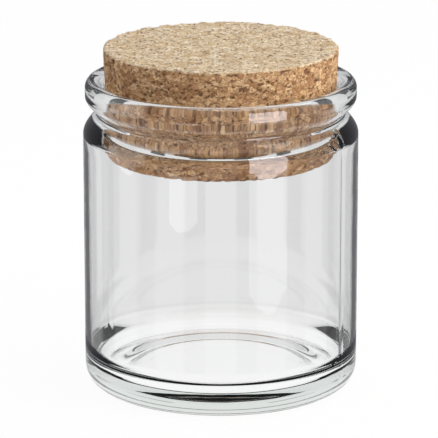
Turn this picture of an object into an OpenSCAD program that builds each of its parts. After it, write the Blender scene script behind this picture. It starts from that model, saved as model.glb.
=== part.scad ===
// Squat glass storage jar with a tapered cork stopper.
// The origin is at the centre of the base, on the surface that the jar stands on.

/* [Mouth and neck] */
// Height of the jar from the standing ring to the crest of the lip
jar_h = 91; // [70:1:160]
// Inside diameter of the mouth, where the stopper seats
mouth_d = 67.4; // [50:0.2:90]
// Thickness of the glass at the narrowest part of the neck
neck_wall = 2.4; // [1.8:0.1:5]
// How far the lip bead stands out from the neck
bead_out = 3.3; // [1.5:0.1:4.5]
// Height of the upright band round the bead
bead_band = 2.4; // [1:0.1:4]
// Height of the curve under the bead
bead_under = 4.3; // [2.5:0.1:6]
// Height of the narrow land at the bottom of the neck groove
neck_land = 0.8; // [0.4:0.1:3]
// How far the crest of the lip lies in from the outside of the bead
lip_round = 2.0; // [1:0.1:3]
// How far the outer edge of the lip rises to its crest
lip_rise = 2.3; // [1:0.1:4]
// How far the flare inside the mouth drops from the crest to the seat
flare_drop = 3.0; // [2:0.1:5]
// Length of the straight bore below the flare
bore_h = 9.5; // [6:0.5:12]

/* [Body] */
// How far the body stands out from the neck
shoulder_out = 3.9; // [2:0.1:8]
// Height of the outer curve of the shoulder
shoulder_h = 6.2; // [4:0.1:12]
// Height over which the bore opens to the inside wall
shoulder_in_h = 4.5; // [3:0.1:8]
// Thickness of the side wall
wall = 1.3; // [1:0.1:2.6]

/* [Base] */
// Height of the inside floor above the standing surface
floor_z = 6.0; // [4.5:0.1:10]
// Width of the rounding between the inside floor and the wall
corner_w = 9.5; // [4:0.5:12]
// Height of the rounding between the inside floor and the wall
corner_h = 8.0; // [4:0.5:12]
// Width of the rounded heel
heel_w = 5.2; // [3:0.2:9]
// Height of the rounded heel
heel_h = 6.2; // [3:0.2:9]
// Width of the flat ring that the jar stands on
stand_w = 3.4; // [2:0.2:6]
// Width of the slope from the standing ring to the push-up
recess_slope = 9.0; // [3:0.5:14]
// Height of the push-up under the base
recess_h = 1.2; // [0.6:0.1:3]

/* [Cork stopper] */
// Height of the stopper
cork_h = 32.3; // [20:0.5:45]
// Height of the stopper that stands above the lip
cork_proud = 9.6; // [5:0.2:16]
// How fast the stopper narrows, in degrees on each side
cork_taper = 3.1; // [1:0.1:5]
// Broken edge round the top and the bottom of the stopper
cork_edge = 0.6; // [0.3:0.1:1.5]
// Running gap between the stopper and its seat in the mouth
fit_gap = 0.15; // [0.1:0.05:0.4]

/* [Hidden] */
$fn = 180;
ARC_STEPS = 12;

mouth_r = mouth_d / 2;
neck_r = mouth_r + neck_wall;
bead_r = neck_r + bead_out;
body_r = neck_r + shoulder_out;
inner_r = body_r - wall;
floor_r = inner_r - corner_w;
stand_out_r = body_r - heel_w;
stand_in_r = stand_out_r - stand_w;
push_up_r = stand_in_r - recess_slope;

seat_z = jar_h - flare_drop;
bead_top_z = jar_h - lip_rise;
bead_low_z = bead_top_z - bead_band;
land_top_z = bead_low_z - bead_under;
land_low_z = land_top_z - neck_land;
shoulder_z = land_low_z - shoulder_h;
bore_low_z = seat_z - bore_h;
wall_top_z = bore_low_z - shoulder_in_h;

cork_seat_r = mouth_r - fit_gap;
cork_top_z = jar_h + cork_proud;
cork_low_z = cork_top_z - cork_h;
function cork_r(z) = cork_seat_r + (z - seat_z) * tan(cork_taper);

// Points of an elliptic arc about a centre, from one angle to another
function arc(cx, cz, rx, rz, from, to) =
    [for (i = [0:ARC_STEPS]) let (a = from + (to - from) * i / ARC_STEPS) [cx + rx * cos(a), cz + rz * sin(a)]];

// A quarter sine wave that swells from one radius at the groove to another
function swell(r0, z0, r1, z1) =
    [for (i = [0:ARC_STEPS]) let (t = i / ARC_STEPS) [r0 + (r1 - r0) * sin(90 * t), z0 + (z1 - z0) * t]];

// A full S curve between two points, upright at both of its ends
function s_upright(r0, z0, r1, z1) =
    [for (i = [0:ARC_STEPS]) let (t = i / ARC_STEPS) [r0 + (r1 - r0) * (1 - cos(180 * t)) / 2, z0 + (z1 - z0) * t]];

// A full S curve between two points, level at both of its ends
function s_level(r0, z0, r1, z1) =
    [for (i = [0:ARC_STEPS]) let (t = i / ARC_STEPS) [r0 + (r1 - r0) * t, z0 + (z1 - z0) * (1 - cos(180 * t)) / 2]];

function reversed(points) = [for (i = [len(points) - 1:-1:0]) points[i]];

underside = concat([[0, recess_h]], s_level(push_up_r, recess_h, stand_in_r, 0));
heel = arc(stand_out_r, heel_h, heel_w, heel_h, -90, 0);
shoulder = reversed(swell(neck_r, land_low_z, body_r, shoulder_z));
bead_lower = swell(neck_r, land_top_z, bead_r, bead_low_z);
lip_outer = arc(bead_r - lip_round, bead_top_z, lip_round, lip_rise, 0, 90);
flare_w = bead_r - lip_round - mouth_r;
lip_inner = arc(mouth_r + flare_w, seat_z, flare_w, flare_drop, 90, 180);
shoulder_inner = s_upright(mouth_r, bore_low_z, inner_r, wall_top_z);
floor_corner = arc(floor_r, floor_z + corner_h, corner_w, corner_h, 0, -90);

// One pressed piece of clear glass, turned from a single closed outline
module glass_jar() {
    color([0.86, 0.91, 0.89, 0.45])
    rotate_extrude()
    polygon(concat(
        underside, heel, shoulder, bead_lower, lip_outer,
        [for (i = [1:ARC_STEPS]) lip_inner[i]],
        shoulder_inner, floor_corner, [[0, floor_z]]
    ));
}

// A tapered plug of bonded cork granules with lightly broken edges
module cork_stopper() {
    color([0.80, 0.66, 0.47])
    rotate_extrude()
    polygon([
        [0, cork_low_z],
        [cork_r(cork_low_z) - cork_edge, cork_low_z],
        [cork_r(cork_low_z + cork_edge), cork_low_z + cork_edge],
        [cork_r(cork_top_z - cork_edge), cork_top_z - cork_edge],
        [cork_r(cork_top_z) - cork_edge, cork_top_z],
        [0, cork_top_z]
    ]);
}

glass_jar();
cork_stopper();
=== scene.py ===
"""Clear glass storage jar with a tapered cork stopper, dressed for a white studio."""
import math

import bmesh
import bpy
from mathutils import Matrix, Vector, noise


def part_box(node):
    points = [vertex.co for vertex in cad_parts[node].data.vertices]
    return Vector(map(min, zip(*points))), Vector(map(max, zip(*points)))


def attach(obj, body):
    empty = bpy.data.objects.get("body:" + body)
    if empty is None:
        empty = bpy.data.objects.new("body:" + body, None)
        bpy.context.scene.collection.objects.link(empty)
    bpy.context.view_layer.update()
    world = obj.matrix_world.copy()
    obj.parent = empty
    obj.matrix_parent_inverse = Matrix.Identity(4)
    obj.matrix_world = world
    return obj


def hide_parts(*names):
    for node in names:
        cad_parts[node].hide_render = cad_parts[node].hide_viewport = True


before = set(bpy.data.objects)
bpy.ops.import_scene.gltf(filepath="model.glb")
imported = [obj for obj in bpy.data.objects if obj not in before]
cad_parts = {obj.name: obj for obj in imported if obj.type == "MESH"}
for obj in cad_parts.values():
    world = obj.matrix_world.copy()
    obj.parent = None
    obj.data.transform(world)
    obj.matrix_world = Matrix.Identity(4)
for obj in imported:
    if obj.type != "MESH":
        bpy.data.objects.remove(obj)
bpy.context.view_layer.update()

MM = 0.001

# Sizes that the frame gives
_, jar_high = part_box("glass_jar")
cork_low, cork_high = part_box("cork_stopper")
BODY_R = jar_high.x
JAR_H = jar_high.z
CORK_TOP_R = cork_high.x
CORK_LOW_Z = cork_low.z
CORK_TOP_Z = cork_high.z

# Sizes of the jar's outline
SHOULDER_OUT = 3.9 * MM
NECK_WALL = 2.4 * MM
BEAD_OUT = 3.3 * MM
NECK_R = BODY_R - SHOULDER_OUT
BEAD_R = NECK_R + BEAD_OUT
MOUTH_R = NECK_R - NECK_WALL
WALL = 1.3 * MM
INNER_R = BODY_R - WALL
LIP_ROUND = 2.0 * MM
LIP_RISE = 2.3 * MM
FLARE_DROP = 3.0 * MM
BEAD_BAND = 2.4 * MM
BEAD_UNDER = 4.3 * MM
NECK_LAND = 0.8 * MM
SHOULDER_H = 6.2 * MM
SHOULDER_IN_H = 4.5 * MM
BORE_H = 9.5 * MM
BEAD_TOP_Z = JAR_H - LIP_RISE
BEAD_LOW_Z = BEAD_TOP_Z - BEAD_BAND
LAND_TOP_Z = BEAD_LOW_Z - BEAD_UNDER
LAND_LOW_Z = LAND_TOP_Z - NECK_LAND
SHOULDER_Z = LAND_LOW_Z - SHOULDER_H
SEAT_Z = JAR_H - FLARE_DROP
BORE_LOW_Z = SEAT_Z - BORE_H
WALL_TOP_Z = BORE_LOW_Z - SHOULDER_IN_H
FLOOR_Z = 6.0 * MM
CORNER_W = 9.5 * MM
CORNER_H = 8.0 * MM
HEEL_W = 5.2 * MM
HEEL_H = 6.2 * MM
STAND_W = 3.4 * MM
RECESS_SLOPE = 9.0 * MM
RECESS_H = 1.2 * MM
STAND_OUT_R = BODY_R - HEEL_W
STAND_IN_R = STAND_OUT_R - STAND_W
PUSH_UP_R = STAND_IN_R - RECESS_SLOPE

# Finish of the glass
SEAM_AZIMUTH = math.radians(-29.5)
SEAM_RISE = 0.10 * MM
WAVE_DEPTH = 0.04 * MM
WAVE_SIZE = 22 * MM
RIPPLE_SCALE = 140
JAR_STEPS = 288
ARC_STEPS = 20
WALL_STEP = 2.5 * MM
FLOOR_STEP = 3 * MM
MERGE_DISTANCE = 0.002 * MM

# Finish of the cork
CORK_TAPER = math.tan(math.radians(3.1))
CORK_EDGE = 0.5 * MM
CORK_STEPS = 420
CORK_RING = 0.55 * MM
CORK_LOW_RING = 1.1 * MM
GRANULE = 2.1 * MM
CHIP_REACH = 2.2 * MM
PIT_SIZE = 1.5 * MM
FINE_SIZE = 0.7 * MM
CHIP_SIZE = 3.1 * MM

# Depths of the cork's relief, in mm
JOINT_DEPTH = 0.08
LEAN_DEPTH = 0.10
PIT_DEPTH = 0.34
FINE_DEPTH = 0.07
CHIP_DEPTH = 0.38


def arc(centre_r, centre_z, rx, rz, start, end):
    """Points of an elliptic arc, with angles in degrees."""
    angles = [math.radians(start + (end - start) * i / ARC_STEPS) for i in range(ARC_STEPS + 1)]
    return [(centre_r + rx * math.cos(a), centre_z + rz * math.sin(a)) for a in angles]


def swell(r0, z0, r1, z1):
    """A quarter sine wave from the groove out to a wider radius."""
    shares = [i / ARC_STEPS for i in range(ARC_STEPS + 1)]
    return [(r0 + (r1 - r0) * math.sin(t * math.pi / 2), z0 + (z1 - z0) * t) for t in shares]


def s_upright(r0, z0, r1, z1):
    """An S curve that is upright at both ends."""
    shares = [i / ARC_STEPS for i in range(ARC_STEPS + 1)]
    return [(r0 + (r1 - r0) * (1 - math.cos(math.pi * t)) / 2, z0 + (z1 - z0) * t) for t in shares]


def s_level(r0, z0, r1, z1):
    """An S curve that is level at both ends."""
    shares = [i / ARC_STEPS for i in range(ARC_STEPS + 1)]
    return [(r0 + (r1 - r0) * t, z0 + (z1 - z0) * (1 - math.cos(math.pi * t)) / 2) for t in shares]


def straight(start, end, step):
    """Points between two ends, without the ends."""
    length = math.dist(start, end)
    count = max(1, round(length / step))
    return [
        (start[0] + (end[0] - start[0]) * i / count, start[1] + (end[1] - start[1]) * i / count)
        for i in range(1, count)
    ]


def jar_outline():
    """The jar's closed section, from the middle of the underside to the middle of the floor."""
    flare_w = BEAD_R - LIP_ROUND - MOUTH_R
    outer_wall = straight((BODY_R, HEEL_H), (BODY_R, SHOULDER_Z), WALL_STEP)
    inner_wall = straight((INNER_R, WALL_TOP_Z), (INNER_R, FLOOR_Z + CORNER_H), WALL_STEP)
    underside = [(0, RECESS_H)] + straight((0, RECESS_H), (PUSH_UP_R, RECESS_H), FLOOR_STEP)
    floor = straight((INNER_R - CORNER_W, FLOOR_Z), (0, FLOOR_Z), FLOOR_STEP) + [(0, FLOOR_Z)]
    return (
        underside
        + s_level(PUSH_UP_R, RECESS_H, STAND_IN_R, 0)
        + arc(STAND_OUT_R, HEEL_H, HEEL_W, HEEL_H, -90, 0)
        + outer_wall
        + swell(NECK_R, LAND_LOW_Z, BODY_R, SHOULDER_Z)[::-1]
        + swell(NECK_R, LAND_TOP_Z, BEAD_R, BEAD_LOW_Z)
        + arc(BEAD_R - LIP_ROUND, BEAD_TOP_Z, LIP_ROUND, LIP_RISE, 0, 90)
        + arc(MOUTH_R + flare_w, SEAT_Z, flare_w, FLARE_DROP, 90, 180)[1:]
        + s_upright(MOUTH_R, BORE_LOW_Z, INNER_R, WALL_TOP_Z)
        + inner_wall
        + arc(INNER_R - CORNER_W, FLOOR_Z + CORNER_H, CORNER_W, CORNER_H, 0, -90)
        + floor
    )


def lathe(outline, steps, azimuth=0.0):
    """A closed bmesh turned from an outline that starts and ends on the axis."""
    bm = bmesh.new()
    verts = [bm.verts.new((r * math.cos(azimuth), r * math.sin(azimuth), z)) for r, z in outline]
    edges = [bm.edges.new(pair) for pair in zip(verts, verts[1:])]
    bmesh.ops.spin(bm, geom=verts + edges, cent=(0, 0, 0), axis=(0, 0, 1), dvec=(0, 0, 0),
                   angle=math.tau, steps=steps, use_merge=True)
    bmesh.ops.remove_doubles(bm, verts=bm.verts, dist=MERGE_DISTANCE)
    bmesh.ops.recalc_face_normals(bm, faces=bm.faces)
    bm.normal_update()
    return bm


def piece_from(bm, name, material):
    """A smooth-shaded object at the origin from a finished bmesh."""
    mesh = bpy.data.meshes.new(name)
    bm.to_mesh(mesh)
    bm.free()
    mesh.shade_smooth()
    mesh.materials.append(material)
    piece = bpy.data.objects.new(name, mesh)
    bpy.context.scene.collection.objects.link(piece)
    return piece


def add_seams_and_waves(bm):
    """Two mould seams up the outside, and the slight unevenness of pressed glass."""
    for v in bm.verts:
        radius = math.hypot(v.co.x, v.co.y)
        if radius < MOUTH_R:
            continue
        out = Vector((v.co.x / radius, v.co.y / radius, 0))
        turn = (math.atan2(v.co.y, v.co.x) - SEAM_AZIMUTH) % math.pi
        on_seam = min(turn, math.pi - turn) < math.pi / JAR_STEPS
        outside = v.normal.dot(out) > 0.2
        wave = 0.5 + 0.5 * noise.noise(v.co / WAVE_SIZE + (Vector((7, 3, 1)) if outside else Vector()))
        sink = WAVE_DEPTH * wave
        rise = SEAM_RISE if on_seam and outside and HEEL_H < v.co.z < BEAD_LOW_Z else 0
        v.co -= out * (sink - rise) if outside else out * (-sink * 0.5)


def glass_jar(material):
    bm = lathe(jar_outline(), JAR_STEPS, SEAM_AZIMUTH)
    add_seams_and_waves(bm)
    return piece_from(bm, "glass_jar_clear", material)


def cork_radius(z):
    return CORK_TOP_R - (CORK_TOP_Z - z) * CORK_TAPER


def cork_outline():
    """The stopper's section with lightly rounded edges and rings close enough for its relief."""
    low_r = cork_radius(CORK_LOW_Z) - CORK_EDGE
    top_r = cork_radius(CORK_TOP_Z) - CORK_EDGE
    side_low = (cork_radius(CORK_LOW_Z + CORK_EDGE), CORK_LOW_Z + CORK_EDGE)
    side_top = (cork_radius(CORK_TOP_Z - CORK_EDGE), CORK_TOP_Z - CORK_EDGE)
    return (
        [(0, CORK_LOW_Z)] + straight((0, CORK_LOW_Z), (low_r, CORK_LOW_Z), CORK_LOW_RING)
        + [(low_r, CORK_LOW_Z), side_low] + straight(side_low, side_top, CORK_RING)
        + [side_top, (top_r, CORK_TOP_Z)]
        + straight((top_r, CORK_TOP_Z), (0, CORK_TOP_Z), CORK_RING) + [(0, CORK_TOP_Z)]
    )


def smooth_step(low, high, value):
    t = min(1.0, max(0.0, (value - low) / (high - low)))
    return t * t * (3 - 2 * t)


def cork_depth(p):
    """How far the surface lies under the turned form: joints between granules, pits and chips."""
    distances, points = noise.voronoi(p / GRANULE)
    joint = 1 - smooth_step(0.02, 0.22, distances[1] - distances[0])
    lean = 0.5 + 0.5 * noise.cell(points[0] * 5.3)
    pit = smooth_step(0.28, 0.5, noise.noise(p / PIT_SIZE))
    fine = 0.5 + 0.5 * noise.noise(p / FINE_SIZE)
    radius = math.hypot(p.x, p.y)
    rim = math.hypot(cork_radius(p.z) - radius, CORK_TOP_Z - p.z)
    rim_low = math.hypot(cork_radius(p.z) - radius, p.z - CORK_LOW_Z)
    near_rim = max(1 - rim / CHIP_REACH, 0.7 - rim_low / CHIP_REACH, 0)
    chip = near_rim * smooth_step(0.0, 0.4, noise.noise(p / CHIP_SIZE + Vector((5, 1, 2))))
    depth = JOINT_DEPTH * joint + LEAN_DEPTH * lean + PIT_DEPTH * pit + FINE_DEPTH * fine + CHIP_DEPTH * chip
    return depth * MM


def cork_stopper(material):
    bm = lathe(cork_outline(), CORK_STEPS)
    moves = [(v, v.normal.copy() * cork_depth(v.co)) for v in bm.verts]
    for v, move in moves:
        v.co -= move
    return piece_from(bm, "cork_stopper_granules", material)


def new_material(name):
    """A material with its nodes, links and Principled shader."""
    material = bpy.data.materials.new(name)
    material.use_nodes = True
    tree = material.node_tree
    return material, tree.nodes, tree.links, tree.nodes["Principled BSDF"]


def math_node(nodes, links, operation, *values):
    """A Math node whose inputs are sockets or plain numbers."""
    made = nodes.new("ShaderNodeMath")
    made.operation = operation
    for socket, value in zip(made.inputs, values):
        if isinstance(value, (int, float)):
            socket.default_value = value
        else:
            links.new(value, socket)
    return made.outputs[0]


def noise_texture(nodes, links, vector, scale, detail):
    """A noise texture of a coordinate socket."""
    made = nodes.new("ShaderNodeTexNoise")
    made.inputs["Scale"].default_value = scale
    made.inputs["Detail"].default_value = detail
    links.new(vector, made.inputs["Vector"])
    return made


def band(nodes, links, value, low, high, out_low=0.0, out_high=1.0):
    """A smooth step of a socket from one value to another."""
    made = nodes.new("ShaderNodeMapRange")
    made.interpolation_type = "SMOOTHSTEP"
    links.new(value, made.inputs["Value"])
    made.inputs["From Min"].default_value = low
    made.inputs["From Max"].default_value = high
    made.inputs["To Min"].default_value = out_low
    made.inputs["To Max"].default_value = out_high
    return made.outputs["Result"]


def mix_colour(nodes, links, factor, a, b):
    """A colour mix whose inputs are sockets or plain colours."""
    made = nodes.new("ShaderNodeMix")
    made.data_type = "RGBA"
    factor_in, a_in, b_in = made.inputs[0], made.inputs[6], made.inputs[7]
    for socket, value in ((factor_in, factor), (a_in, a), (b_in, b)):
        if isinstance(value, (int, float)):
            socket.default_value = value
        elif isinstance(value, tuple):
            socket.default_value = (*value, 1)
        else:
            links.new(value, socket)
    return made.outputs[2]


def clear_glass():
    """Clear pressed glass with a faint green body colour and soft ripples."""
    material, nodes, links, shader = new_material("clear_glass")
    shader.inputs["Base Color"].default_value = (1, 1, 1, 1)
    shader.inputs["Roughness"].default_value = 0.0
    shader.inputs["IOR"].default_value = 1.5
    shader.inputs["Transmission Weight"].default_value = 1.0
    place = nodes.new("ShaderNodeTexCoord")
    ripple = noise_texture(nodes, links, place.outputs["Object"], RIPPLE_SCALE, 1)
    bump = nodes.new("ShaderNodeBump")
    bump.inputs["Strength"].default_value = 0.03
    bump.inputs["Distance"].default_value = 0.4 * MM
    links.new(ripple.outputs["Fac"], bump.inputs["Height"])
    links.new(bump.outputs["Normal"], shader.inputs["Normal"])
    body = nodes.new("ShaderNodeVolumeAbsorption")
    body.inputs["Color"].default_value = (0.74, 0.84, 0.79, 1)
    body.inputs["Density"].default_value = 6
    links.new(body.outputs["Volume"], nodes["Material Output"].inputs["Volume"])
    return material


def granule_group():
    """Granule tone and grain, and masks for joints, specks and hollows, from Object coordinates."""
    group = bpy.data.node_groups.new("cork_granules", "ShaderNodeTree")
    group.interface.new_socket("Vector", in_out="INPUT", socket_type="NodeSocketVector")
    group.interface.new_socket("Granule Scale", in_out="INPUT", socket_type="NodeSocketFloat")
    for name in ("Tone", "Joint", "Speck", "Grain", "Hollow"):
        group.interface.new_socket(name, in_out="OUTPUT", socket_type="NodeSocketFloat")
    nodes, links = group.nodes, group.links
    entry = nodes.new("NodeGroupInput")
    leave = nodes.new("NodeGroupOutput")

    flatten = nodes.new("ShaderNodeMapping")
    flatten.inputs["Scale"].default_value = (1, 1, 1.5)
    links.new(entry.outputs["Vector"], flatten.inputs["Vector"])
    warp = noise_texture(nodes, links, entry.outputs["Vector"], 600, 4)
    offset = nodes.new("ShaderNodeVectorMath")
    offset.operation = "MULTIPLY_ADD"
    links.new(warp.outputs["Color"], offset.inputs[0])
    offset.inputs[1].default_value = (0.0022, 0.0022, 0.0018)
    links.new(flatten.outputs["Vector"], offset.inputs[2])
    warped = offset.outputs[0]

    cells = nodes.new("ShaderNodeTexVoronoi")
    links.new(warped, cells.inputs["Vector"])
    links.new(entry.outputs["Granule Scale"], cells.inputs["Scale"])
    tone = nodes.new("ShaderNodeSeparateColor")
    links.new(cells.outputs["Color"], tone.inputs["Color"])

    borders = nodes.new("ShaderNodeTexVoronoi")
    borders.feature = "DISTANCE_TO_EDGE"
    links.new(warped, borders.inputs["Vector"])
    links.new(entry.outputs["Granule Scale"], borders.inputs["Scale"])
    joint = band(nodes, links, borders.outputs["Distance"], 0.0, 0.11, 1, 0)

    crumbs = nodes.new("ShaderNodeTexVoronoi")
    links.new(warped, crumbs.inputs["Vector"])
    crumbs.inputs["Scale"].default_value = 900
    crumb_tone = nodes.new("ShaderNodeSeparateColor")
    links.new(crumbs.outputs["Color"], crumb_tone.inputs["Color"])
    chosen = band(nodes, links, crumb_tone.outputs["Red"], 0.76, 0.82)
    inside = band(nodes, links, crumbs.outputs["Distance"], 0.25, 0.55, 1, 0)
    speck = math_node(nodes, links, "MULTIPLY", chosen, inside)

    grain = noise_texture(nodes, links, warped, 1600, 5)
    hollows = noise_texture(nodes, links, flatten.outputs["Vector"], 520, 3)
    hollow = band(nodes, links, hollows.outputs["Fac"], 0.56, 0.66)

    links.new(hollow, leave.inputs["Hollow"])
    links.new(tone.outputs["Red"], leave.inputs["Tone"])
    links.new(joint, leave.inputs["Joint"])
    links.new(speck, leave.inputs["Speck"])
    links.new(grain.outputs["Fac"], leave.inputs["Grain"])
    return group


def ramp(nodes, links, factor, stops):
    """A colour ramp from (position, colour) pairs."""
    made = nodes.new("ShaderNodeValToRGB")
    elements = made.color_ramp.elements
    while len(elements) < len(stops):
        elements.new(0.5)
    for element, (position, colour) in zip(elements, stops):
        element.position = position
        element.color = (*colour, 1)
    links.new(factor, made.inputs["Fac"])
    return made.outputs["Color"]


SIDE_TONES = ((0.0, (0.34, 0.17, 0.075)), (0.25, (0.52, 0.30, 0.14)), (0.6, (0.66, 0.42, 0.22)),
              (0.85, (0.76, 0.53, 0.30)), (1.0, (0.46, 0.24, 0.11)))
TOP_TONES = ((0.0, (0.66, 0.49, 0.29)), (0.3, (0.76, 0.61, 0.40)), (0.7, (0.83, 0.70, 0.50)),
             (1.0, (0.88, 0.77, 0.58)))
SPECK_COLOUR = (0.09, 0.035, 0.014)
JOINT_COLOUR = (0.22, 0.105, 0.045)
HOLLOW_COLOUR = (0.12, 0.050, 0.020)

# How strongly each mask shows on the side, and how that changes on the top
JOINT_ON_SIDE = 0.6
JOINT_TOP_CHANGE = -0.35
HOLLOW_ON_SIDE = 0.85
HOLLOW_TOP_CHANGE = -0.62
SPECK_STRENGTH = 0.85


def bonded_cork():
    """Cork granules pressed together: paler and finer where the top is cut and sanded."""
    material, nodes, links, shader = new_material("bonded_cork")
    place = nodes.new("ShaderNodeTexCoord")
    granules = nodes.new("ShaderNodeGroup")
    granules.node_tree = granule_group()
    granules.inputs["Granule Scale"].default_value = 1 / GRANULE
    links.new(place.outputs["Object"], granules.inputs["Vector"])
    axes = nodes.new("ShaderNodeSeparateXYZ")
    links.new(place.outputs["Object"], axes.inputs["Vector"])
    on_top = band(nodes, links, axes.outputs["Z"], CORK_TOP_Z - 0.9 * MM, CORK_TOP_Z - 0.25 * MM)

    side = ramp(nodes, links, granules.outputs["Tone"], SIDE_TONES)
    top = ramp(nodes, links, granules.outputs["Tone"], TOP_TONES)
    colour = mix_colour(nodes, links, on_top, side, top)
    grain_share = band(nodes, links, granules.outputs["Grain"], 0.36, 0.62, 0.55, 0.0)
    colour = mix_colour(nodes, links, grain_share, colour, JOINT_COLOUR)
    joint_side = math_node(nodes, links, "MULTIPLY_ADD", on_top, JOINT_TOP_CHANGE, JOINT_ON_SIDE)
    joint_share = math_node(nodes, links, "MULTIPLY", granules.outputs["Joint"], joint_side)
    colour = mix_colour(nodes, links, joint_share, colour, JOINT_COLOUR)
    hollow_side = math_node(nodes, links, "MULTIPLY_ADD", on_top, HOLLOW_TOP_CHANGE, HOLLOW_ON_SIDE)
    hollow_share = math_node(nodes, links, "MULTIPLY", granules.outputs["Hollow"], hollow_side)
    colour = mix_colour(nodes, links, hollow_share, colour, HOLLOW_COLOUR)
    speck_share = math_node(nodes, links, "MULTIPLY", granules.outputs["Speck"], SPECK_STRENGTH)
    colour = mix_colour(nodes, links, speck_share, colour, SPECK_COLOUR)
    links.new(colour, shader.inputs["Base Color"])

    rough = band(nodes, links, granules.outputs["Grain"], 0.2, 0.8, 0.72, 0.92)
    links.new(rough, shader.inputs["Roughness"])
    shader.inputs["Specular IOR Level"].default_value = 0.25
    height = math_node(nodes, links, "SUBTRACT", granules.outputs["Grain"], granules.outputs["Joint"])
    bump = nodes.new("ShaderNodeBump")
    bump.inputs["Strength"].default_value = 0.55
    bump.inputs["Distance"].default_value = 0.25 * MM
    links.new(height, bump.inputs["Height"])
    links.new(bump.outputs["Normal"], shader.inputs["Normal"])
    return material


# Studio
CAMERA_PLACE = (-0.00052, -0.950, 0.3102)
CAMERA_PITCH = math.radians(15.39)
FOCAL_PIXELS = 3366
FRAME_PIXELS = 438
SENSOR_MM = 36
BACKDROP = 0.80
GAP_BRIGHTNESS = 0.12
PANEL_DISTANCE = 1.2
INSIDE_LIGHT = (1.30, 1.22, 1.15)
DIFFUSE_LIGHT = (0.42, 0.42, 0.43)
GLOSSY_LIGHT = (0.22, 0.22, 0.24)
TOP_LAMP_WIDTH = 1.0
TOP_LAMP_DEPTH = 0.8
TOP_LAMP_RADIANCE = 2.9
TOP_LAMP_PLACE = (0.25, 0.1, 1.1)
TOP_LAMP_TILT = math.radians(12)
FLOOR_RADIUS = 1.2
FLOOR_SINK = 0.05 * MM
WHITE_WITHIN = 0.041
CLEAR_BEYOND = 0.062


def photograph_camera():
    data = bpy.data.cameras.new("camera")
    data.sensor_width = SENSOR_MM
    data.lens = FOCAL_PIXELS / FRAME_PIXELS * SENSOR_MM
    data.clip_start = 0.05
    data.clip_end = 20
    camera = bpy.data.objects.new("camera", data)
    camera.location = CAMERA_PLACE
    camera.rotation_euler = (math.pi / 2 - CAMERA_PITCH, 0, 0)
    bpy.context.scene.collection.objects.link(camera)
    bpy.context.scene.camera = camera


def area_lamp(name, width, height, radiance, tint=(1, 1, 1)):
    """A rectangular lamp that is hidden from the camera and from light sent through glass."""
    data = bpy.data.lights.new(name, "AREA")
    data.shape = "RECTANGLE"
    data.size = width
    data.size_y = height
    data.energy = radiance * math.pi * width * height
    data.color = tint
    lamp = bpy.data.objects.new(name, data)
    lamp.visible_camera = False
    lamp.visible_transmission = False
    bpy.context.scene.collection.objects.link(lamp)
    return lamp


def soft_panel(name, azimuth, spread, low, high, radiance, tint=(1, 1, 1), shows=True, lights=True):
    """An upright lamp, turned to the jar: azimuth is to the right of the camera, in degrees."""
    width = 2 * PANEL_DISTANCE * math.tan(math.radians(spread / 2))
    lamp = area_lamp(name, width, high - low, radiance, tint)
    turn = math.radians(azimuth)
    lamp.location = (PANEL_DISTANCE * math.sin(turn), -PANEL_DISTANCE * math.cos(turn), (low + high) / 2)
    lamp.rotation_euler = (math.pi / 2, 0, turn)
    lamp.visible_glossy = shows
    lamp.visible_diffuse = lights


def top_lamp():
    lamp = area_lamp("top_lamp", TOP_LAMP_WIDTH, TOP_LAMP_DEPTH, TOP_LAMP_RADIANCE)
    lamp.location = TOP_LAMP_PLACE
    lamp.rotation_euler = (0, TOP_LAMP_TILT, 0)


def white_world():
    """White to the camera. Glass shows pale panels, with darker gaps between them below the horizon.

    After a diffuse bounce, what comes through glass is INSIDE_LIGHT.
    """
    world = bpy.data.worlds.new("studio")
    bpy.context.scene.world = world
    world.use_nodes = True
    nodes, links = world.node_tree.nodes, world.node_tree.links
    background = nodes["Background"]
    place = nodes.new("ShaderNodeTexCoord")
    axes = nodes.new("ShaderNodeSeparateXYZ")
    links.new(place.outputs["Generated"], axes.inputs["Vector"])
    azimuth = math_node(nodes, links, "ARCTAN2", axes.outputs["X"], axes.outputs["Y"])
    eighths = math_node(nodes, links, "MULTIPLY", azimuth, 8.0)
    wave = math_node(nodes, links, "COSINE", eighths)
    in_gap = band(nodes, links, wave, -0.5, -0.1, 1, 0)
    above = band(nodes, links, axes.outputs["Z"], -0.10, 0.02, 1, 0)
    below = band(nodes, links, axes.outputs["Z"], -0.55, -0.42)
    level = math_node(nodes, links, "MULTIPLY", above, below)
    gap = math_node(nodes, links, "MULTIPLY", in_gap, level)
    panels = band(nodes, links, gap, 0, 1, BACKDROP, GAP_BRIGHTNESS)
    path = nodes.new("ShaderNodeLightPath")
    reflected = mix_colour(nodes, links, path.outputs["Is Glossy Ray"], DIFFUSE_LIGHT, GLOSSY_LIGHT)
    lit = math_node(nodes, links, "MINIMUM", path.outputs["Diffuse Depth"], 1.0)
    panels = mix_colour(nodes, links, lit, panels, INSIDE_LIGHT)
    through = mix_colour(nodes, links, path.outputs["Is Transmission Ray"], reflected, panels)
    seen = mix_colour(nodes, links, path.outputs["Is Camera Ray"], through, (1, 1, 1))
    links.new(seen, background.inputs["Color"])
    background.inputs["Strength"].default_value = 1.0


def mix_shader(nodes, links, factor, a, b):
    """A Mix Shader node whose factor is a socket or a plain number."""
    made = nodes.new("ShaderNodeMixShader")
    if isinstance(factor, float):
        made.inputs[0].default_value = factor
    else:
        links.new(factor, made.inputs[0])
    links.new(a, made.inputs[1])
    links.new(b, made.inputs[2])
    return made.outputs[0]


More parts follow.
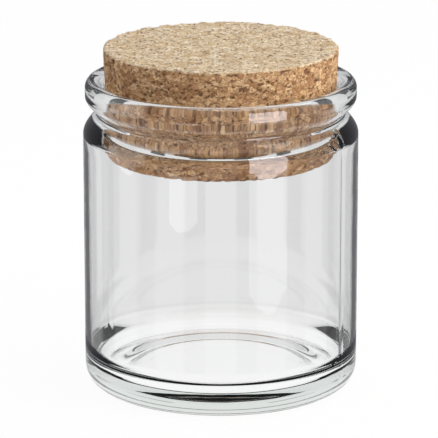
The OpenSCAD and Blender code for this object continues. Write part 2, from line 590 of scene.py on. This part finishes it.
def pale_floor():
    """A white floor that fades into the backdrop. Only its middle shows in the glass."""
    bm = bmesh.new()
    bmesh.ops.create_circle(bm, cap_ends=True, segments=96, radius=FLOOR_RADIUS)
    mesh = bpy.data.meshes.new("floor")
    bm.to_mesh(mesh)
    bm.free()
    floor = bpy.data.objects.new("floor", mesh)
    floor.location.z = -FLOOR_SINK
    bpy.context.scene.collection.objects.link(floor)
    material = bpy.data.materials.new("white_floor")
    material.use_nodes = True
    nodes, links = material.node_tree.nodes, material.node_tree.links
    nodes.remove(nodes["Principled BSDF"])
    diffuse = nodes.new("ShaderNodeBsdfDiffuse")
    diffuse.inputs["Color"].default_value = (0.9, 0.9, 0.9, 1)
    glow = nodes.new("ShaderNodeEmission")
    clear = nodes.new("ShaderNodeBsdfTransparent")
    place = nodes.new("ShaderNodeTexCoord")
    reach = nodes.new("ShaderNodeVectorMath")
    reach.operation = "LENGTH"
    links.new(place.outputs["Object"], reach.inputs[0])
    middle = band(nodes, links, reach.outputs["Value"], WHITE_WITHIN, CLEAR_BEYOND, 1, 0)
    path = nodes.new("ShaderNodeLightPath")
    shape = nodes.new("ShaderNodeNewGeometry")
    sent_through = path.outputs["Is Transmission Ray"]
    through = math_node(nodes, links, "MAXIMUM", sent_through, path.outputs["Is Glossy Ray"])
    to_camera = mix_shader(nodes, links, 0.95, diffuse.outputs[0], glow.outputs[0])
    to_glass = mix_shader(nodes, links, middle, clear.outputs[0], glow.outputs[0])
    surface = mix_shader(nodes, links, path.outputs["Is Camera Ray"], diffuse.outputs[0], to_camera)
    surface = mix_shader(nodes, links, through, surface, to_glass)
    surface = mix_shader(nodes, links, shape.outputs["Backfacing"], surface, clear.outputs[0])
    links.new(surface, nodes["Material Output"].inputs["Surface"])
    mesh.materials.append(material)


photograph_camera()
bpy.context.scene.view_settings.view_transform = "Standard"
white_world()
pale_floor()
soft_panel("right_softbox", 39.5, 33, -0.234, 0.75, 8.0, (0.93, 0.92, 1.0), lights=False)
soft_panel("right_softbox_skirt", 39.5, 33, -0.325, -0.234, 1.5, lights=False)
soft_panel("left_strip", -31, 24, -0.268, -0.234, 2.0, lights=False)
soft_panel("left_fill", -85, 40, -0.234, 0.60, 1.6)
soft_panel("right_key", 62, 40, -0.20, 0.80, 6.0, (1.0, 0.97, 0.92), shows=False)
top_lamp()

jar = glass_jar(clear_glass())
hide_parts("glass_jar")
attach(jar, "jar")

cork = cork_stopper(bonded_cork())
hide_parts("cork_stopper")
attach(cork, "stopper")
